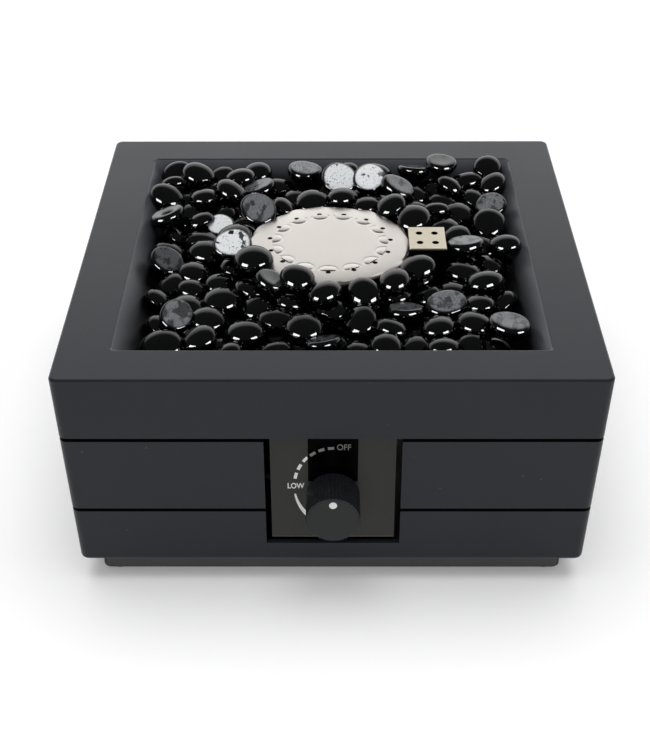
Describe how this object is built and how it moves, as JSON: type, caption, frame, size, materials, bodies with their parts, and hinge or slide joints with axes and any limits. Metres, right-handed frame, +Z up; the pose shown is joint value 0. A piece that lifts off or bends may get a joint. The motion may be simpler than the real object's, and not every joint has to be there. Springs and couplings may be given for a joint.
{
  "type": "tabletop gas fire pit",
  "caption": "Square dark tabletop gas fire pit with a bowl of black fire glass round a stainless burner, and a push-and-turn knob in a front recess.",
  "frame": {"origin": "middle of the footprint, on the surface the rubber feet stand on", "axes": "+Z up, the knob faces -Y, the gas inlet points to +Y, +X to the right seen from the front"},
  "size_m": [0.3498, 0.4, 0.1819],
  "materials": {
    "casing_paint": "matt textured powder coat",
    "plinth_paint": "matt powder coat",
    "plate_steel": "plain zinc plated sheet",
    "pan_paint": "heat-proof matt black",
    "rubber": "matt",
    "screw_steel": "zinc plated",
    "panel_paint": "satin",
    "inlay_gloss": "gloss",
    "knob_gloss": "gloss",
    "knob_satin": "satin",
    "white_mark": "matt",
    "brass": "machined",
    "valve_alloy": "die cast",
    "spring_steel": "bright",
    "stainless": "satin stamped stainless",
    "tube_alloy": "drawn tube",
    "piezo_plastic": "gloss",
    "ceramic": "glazed",
    "probe_copper": "copper",
    "lead_insulation": "silicone",
    "fire_glass": "polished black"
  },
  "bodies": {
    "fire_pit": {"casing": "casing_paint", "plinth": "plinth_paint", "bottom_plate": "plate_steel", "rubber_feet": "rubber", "base_screws": "screw_steel", "control_panel": "panel_paint", "panel_screws": "screw_steel", "dial_inlay": "inlay_gloss", "valve_body": "valve_alloy", "valve_screws": "screw_steel", "return_spring": "spring_steel", "piezo_igniter": "piezo_plastic", "safety_magnet": "brass", "burner_pan": "pan_paint", "pan_screws": "screw_steel", "burner_lid": "stainless", "burner_bowl": "stainless", "mixer_tube": "stainless", "burner_locknut": "screw_steel", "jet_holder": "brass", "jet": "brass", "gas_tube": "tube_alloy", "tube_nuts": "brass", "igniter_shroud": "stainless", "shroud_screw": "screw_steel", "electrode_ceramic": "ceramic", "electrode_tip": "spring_steel", "thermocouple": "probe_copper", "igniter_lead": "lead_insulation", "thermocouple_lead": "probe_copper", "inlet_fitting": "brass", "inlet_nut": "brass", "inlet_pipe": "tube_alloy", "fire_glass_lower": "fire_glass", "fire_glass_middle": "fire_glass", "fire_glass_upper": "fire_glass"},
    "push_slide": {"thrust_washer": "screw_steel"},
    "control_knob": {"knob": "knob_gloss", "knob_cap": "knob_satin", "knob_dot": "white_mark", "valve_stem": "brass"}
  },
  "joints": [
    {"name": "knob_push", "type": "slide", "parent": "fire_pit", "child": "push_slide", "axis": [0, 1, 0], "range_m": [0, 0.003], "stiffness_N_per_m": 2500, "deforming": ["return_spring"]},
    {"name": "knob_turn", "type": "hinge", "parent": "push_slide", "child": "control_knob", "pos_m": [0.001, -0.17, 0.078], "axis": [0, -1, 0], "range_deg": [0, 180]}
  ]
}
